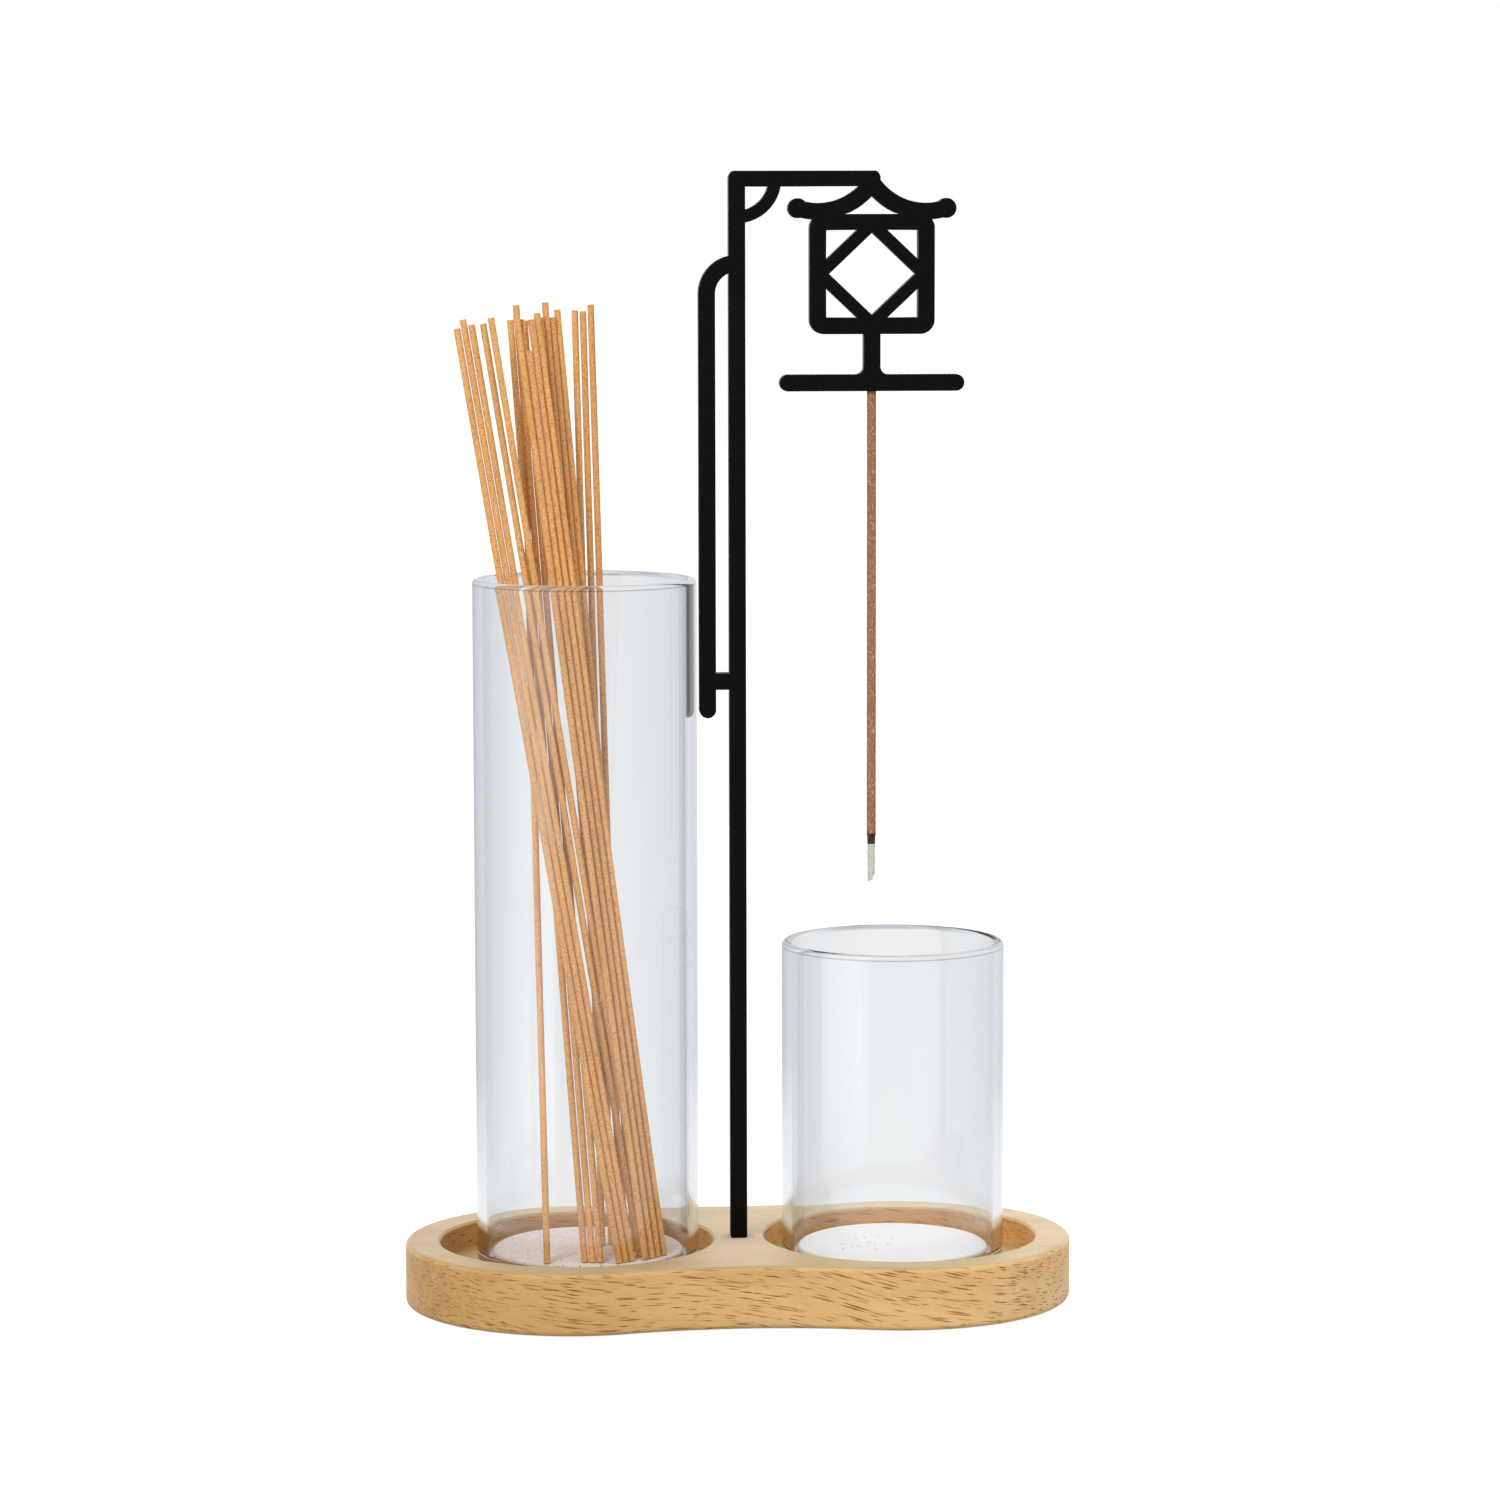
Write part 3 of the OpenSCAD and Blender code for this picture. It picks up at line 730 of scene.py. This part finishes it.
def pressed(name, ground, dark, pale, dark_share, pale_share, tone_drift, bump_height):
    """A dry powder skin: its material, node tree, Principled shader and colour."""
    material, tree, shader = new_material(name)
    mix = put(tree, "ShaderNodeGroup", {
        "Ground": (*ground, 1), "Dark": (*dark, 1), "Pale": (*pale, 1), "Dark Share": dark_share,
        "Pale Share": pale_share, "Tone Drift": tone_drift}, node_tree=powder).outputs
    feed(tree, shader, {
        "Base Color": mix["Colour"], "Roughness": 0.85, "Specular IOR Level": 0.25,
        "Normal": put(tree, "ShaderNodeBump", {
            "Height": mix["Height"], "Strength": 0.6, "Distance": bump_height}).outputs[0]})
    return material, tree, shader, mix["Colour"]


tan_skin = pressed("tan_incense", (0.70, 0.36, 0.125), (0.38, 0.14, 0.03), (0.88, 0.62, 0.35),
                   dark_share=0.7, pale_share=0.35, tone_drift=0.5, bump_height=0.00006)[0]
stored = sorted(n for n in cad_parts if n.startswith("stick_"))
for count, node in enumerate(stored):
    foot, top, radius = ends_of(node)
    stick = plain_mesh_from(rolled, "tan_" + node, {
        "Foot": foot.tolist(), "Top": top.tolist(), "Radius": float(radius), "Unevenness": 0.00005,
        "Seed": count * 3.7, "Skin": tan_skin})
    smooth_up_to(stick, 50)
    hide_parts(node)
    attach(stick, "stored_sticks")


# ---------------------------------------------------------------------------------------------
# Burning stick: a red-brown stick pushed up into the hole under the lantern, a little thicker
# than the hole, so that it hangs and burns upwards. Below the glow line come a charred end and a
# rod of pale ash whose last crumbs are about to fall.
# ---------------------------------------------------------------------------------------------
hung_foot, hung_top, hung_r = ends_of("hanging_stick")
grip = 0.00011
red_skin, tree, shader, red_brown = pressed(
    "red_incense", (0.33, 0.143, 0.066), (0.19, 0.068, 0.025), (0.62, 0.42, 0.30),
    dark_share=0.6, pale_share=0.7, tone_drift=0.25, bump_height=0.0001)
# It is scorched in an uneven band up to this far above its foot.
scorch_low, scorch_high = 0.0009, 0.0022
here = put(tree, "ShaderNodeTexCoord").outputs["Object"]
above_foot = work_out(tree, "SUBTRACT", put(tree, "ShaderNodeSeparateXYZ", {0: here}).outputs["Z"],
                      float(hung_foot[2]))
creep = put(tree, "ShaderNodeTexNoise", {"Vector": here, "Scale": 1100.0, "Detail": 2.0}).outputs[0]
scorch = stepped(tree, work_out(tree, "MULTIPLY_ADD", creep, scorch_high, above_foot),
                 scorch_high, scorch_low)
feed(tree, shader, {"Base Color": blended(tree, scorch, red_brown, (0.02, 0.014, 0.010, 1))})
stick = plain_mesh_from(rolled, "burning_stick", {
    "Foot": hung_foot.tolist(), "Top": hung_top.tolist(), "Radius": float(hung_r) + grip,
    "Unevenness": 0.00009, "Seed": 91.0, "Skin": red_skin})
smooth_up_to(stick, 50)
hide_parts("hanging_stick")
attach(stick, "hanging_stick")


def burnt_rod(name, node, taper, torn, grain, hoops):
    """A lumpy rod that fills a CAD cylinder. `torn` is how unevenly its lower end is broken off."""
    foot, top, radius = ends_of(node)
    length, turns = top[2] - foot[2], 32
    skin = bmesh.new()
    hoop_verts = []
    for h in range(hoops + 1):
        share = h / hoops
        hoop = []
        for k in range(turns):
            a = 2 * math.pi * k / turns
            ragged = noise.noise(Vector((math.cos(a), math.sin(a), 4.2)) * 2.3)
            break_up = torn * (0.5 + 0.5 * math.sin(a + 0.9)) ** 1.5
            break_up += torn * 0.35 * (0.5 + ragged)
            fall = length - min(break_up, 0.8 * length)
            place = Vector((math.cos(a), math.sin(a), 0)) * radius * 1000
            place.z = share * fall * 1000
            lump = noise.noise(place * 1.7) * 0.6 + noise.noise(place * 4.1) * 0.4
            reach = radius * (1 - taper * share) - grain * (0.6 + lump)
            if h == hoops and torn:
                reach *= 0.8
            hoop.append(skin.verts.new((top[0] + math.cos(a) * reach, top[1] + math.sin(a) * reach,
                                        top[2] - share * fall)))
        hoop_verts.append(hoop)
    for upper, lower in zip(hoop_verts, hoop_verts[1:]):
        for k in range(turns):
            j = (k + 1) % turns
            skin.faces.new((upper[k], lower[k], lower[j], upper[j]))
    tip_lift = 0.0004 if torn else 0.0
    for hoop, upward, lift in ((hoop_verts[0], True, 0.0), (hoop_verts[-1], False, tip_lift)):
        middle = sum((vert.co for vert in hoop), Vector()) / turns
        middle = skin.verts.new(middle + Vector((0, 0, lift)))
        for k in range(turns):
            j = (k + 1) % turns
            skin.faces.new((middle, hoop[k], hoop[j]) if upward else (middle, hoop[j], hoop[k]))
    for face in skin.faces:
        face.smooth = True
    piece = object_from(name, skin)
    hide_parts(node)
    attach(piece, "hanging_stick")
    return piece


char_skin = pressed("char", (0.045, 0.027, 0.015), (0.012, 0.008, 0.004), (0.17, 0.10, 0.05),
                    dark_share=0.7, pale_share=0.35, tone_drift=0.2, bump_height=0.0002)[0]
ash_skin = pressed("pale_ash", (0.53, 0.54, 0.49), (0.36, 0.37, 0.33), (0.80, 0.80, 0.76),
                   dark_share=0.45, pale_share=0.5, tone_drift=0.2, bump_height=0.0002)[0]
char = burnt_rod("glow_line", "charred_end", taper=0.06, torn=0, grain=0.00004, hoops=12)
char.data.materials.append(char_skin)
ash = burnt_rod("hanging_ash", "ash_tip", taper=0.04, torn=0.0022, grain=0.00009, hoops=60)
ash.data.materials.append(ash_skin)


# ---------------------------------------------------------------------------------------------
# Fallen ash: crumbs that have dropped from the burning stick and lie on the felt of the short
# glass, thickest under the stick.
# ---------------------------------------------------------------------------------------------
crumbs = bpy.data.node_groups.new("fallen_crumbs", "GeometryNodeTree")
crumbs.is_modifier = True
given = named_sockets(crumbs, {
    "Centre": "Vector", "Spread": "Float", "Count": "Int", "Crumb Size": "Float", "Seed": "Int",
    "Skin": "Material"}, {"Crumbs": "Geometry"})
index = put(crumbs, "GeometryNodeInputIndex").outputs[0]
turn = put(crumbs, "FunctionNodeRandomValue", {
    2: 0.0, 3: 2 * math.pi, "ID": index, "Seed": given["Seed"]}, data_type="FLOAT").outputs[1]
share = put(crumbs, "FunctionNodeRandomValue", {
    2: 0.0, 3: 1.0, "ID": index,
    "Seed": work_out(crumbs, "ADD", given["Seed"], 11.0)}, data_type="FLOAT").outputs[1]
reach = work_out(crumbs, "MULTIPLY", work_out(crumbs, "POWER", share, 0.9), given["Spread"])
spot = put(crumbs, "ShaderNodeCombineXYZ", {
    "X": work_out(crumbs, "MULTIPLY", reach, work_out(crumbs, "COSINE", turn)),
    "Y": work_out(crumbs, "MULTIPLY", reach, work_out(crumbs, "SINE", turn))}).outputs[0]
places = put(crumbs, "GeometryNodePoints", {
    "Count": given["Count"],
    "Position": work_out_vector(crumbs, "ADD", spot, given["Centre"])}).outputs[0]
grain = put(crumbs, "GeometryNodeMeshIcoSphere", {
    "Radius": given["Crumb Size"], "Subdivisions": 2}).outputs[0]
dent = put(crumbs, "ShaderNodeTexNoise", {
    "Vector": put(crumbs, "GeometryNodeInputPosition").outputs[0],
    "Scale": 2600.0}).outputs["Color"]
dented = work_out_vector(
    crumbs, "SCALE", work_out_vector(crumbs, "SUBTRACT", dent, (0.5, 0.5, 0.5)), Scale=0.0005)
grain = put(crumbs, "GeometryNodeSetPosition", {"Geometry": grain, "Offset": dented}).outputs[0]
scattered = put(crumbs, "GeometryNodeInstanceOnPoints", {
    "Points": places, "Instance": grain,
    "Rotation": put(crumbs, "FunctionNodeRandomValue", {
        0: (0, 0, 0), 1: (6.3, 6.3, 6.3), "Seed": given["Seed"]},
        data_type="FLOAT_VECTOR").outputs[0],
    "Scale": put(crumbs, "FunctionNodeRandomValue", {
        0: (0.35, 0.25, 0.25), 1: (1.5, 1.0, 0.6), "Seed": given["Seed"]},
        data_type="FLOAT_VECTOR").outputs[0]}).outputs[0]
end_with(crumbs, scattered, given["Skin"])
crumb_skin = pressed("crumb_ash", (0.78, 0.78, 0.74), (0.55, 0.56, 0.52), (0.90, 0.90, 0.88),
                     dark_share=0.45, pale_share=0.5, tone_drift=0.2, bump_height=0.0002)[0]
lie_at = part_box("ash_pad")[1].z + 0.00005
fallen = plain_mesh_from(crumbs, "fallen_ash", {
    "Centre": [float(hung_top[0]), float(hung_top[1]), lie_at], "Spread": 0.0085, "Count": 36,
    "Crumb Size": 0.00032, "Seed": 5, "Skin": crumb_skin})
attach(fallen, "ash_glass")
